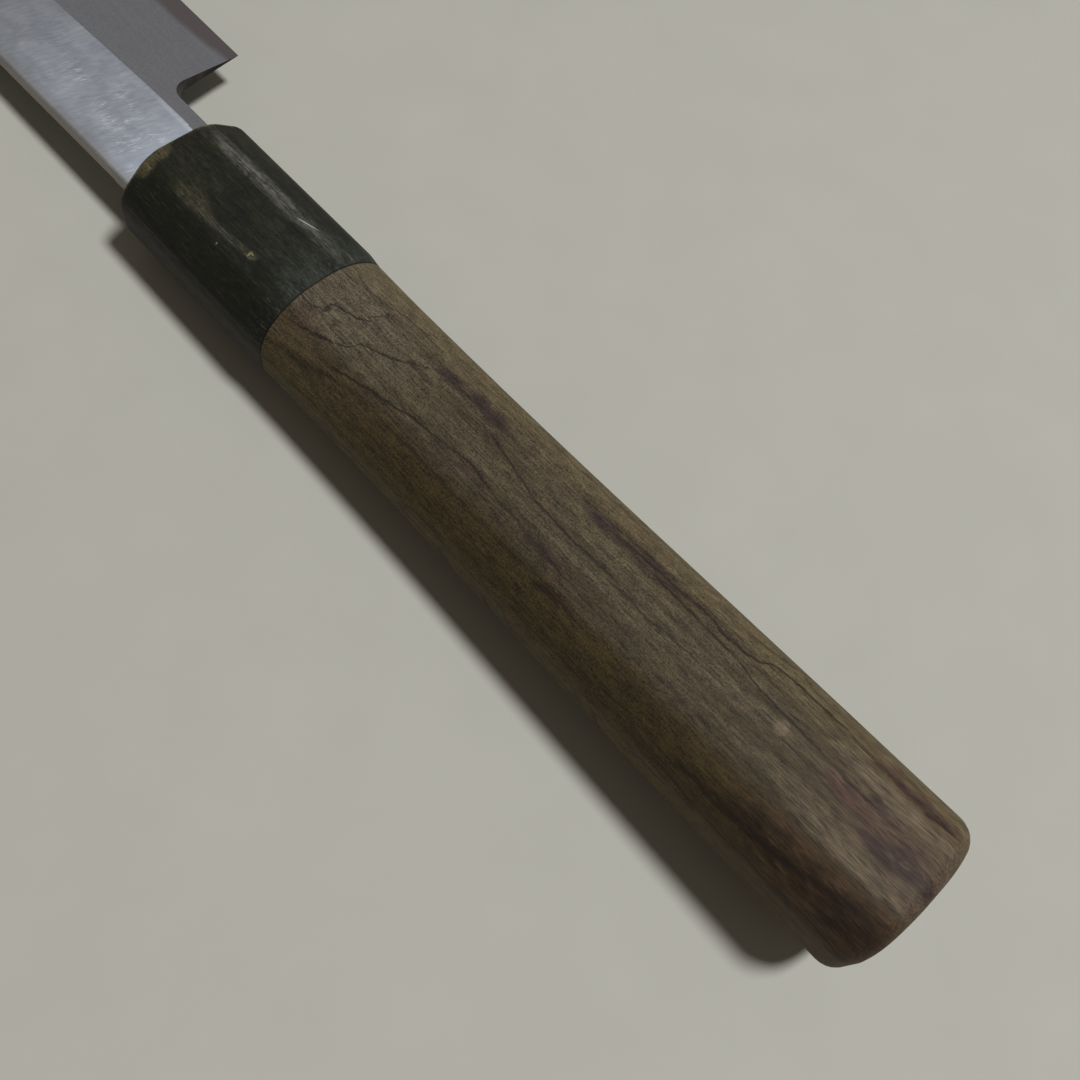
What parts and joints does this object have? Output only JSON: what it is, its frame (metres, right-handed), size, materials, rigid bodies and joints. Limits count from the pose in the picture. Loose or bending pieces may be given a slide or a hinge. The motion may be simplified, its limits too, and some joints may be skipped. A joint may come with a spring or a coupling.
{
  "type": "yanagiba knife",
  "caption": "Long single-bevel slicing knife with a straight spine, a hidden tang, a dark horn ferrule and a softened octagonal wooden handle.",
  "frame": {"origin": "under the middle of the knife's box, on the surface that the handle's underside rests on", "axes": "+X from the butt to the tip, -Y from the spine to the cutting edge, +Z out of the bevelled face"},
  "size_m": [0.422, 0.0362, 0.0231],
  "materials": {
    "soft_iron": "fine cross-brushed flat, hazy matt bevel",
    "hard_steel": "brighter, closer ground, with a fine edge",
    "horn": "satin dark horn with lengthwise fibres",
    "hardwood": "oiled satin, dark grain lines",
    "softwood": "plain, turned",
    "resin": "set resin"
  },
  "bodies": {
    "root": {"blade_body": "soft_iron", "edge_steel": "hard_steel", "ferrule": "horn", "handle_body": "hardwood", "core_dowel": "softwood", "tang_resin": "resin", "mouth_seal": "resin"}
  },
  "joints": []
}
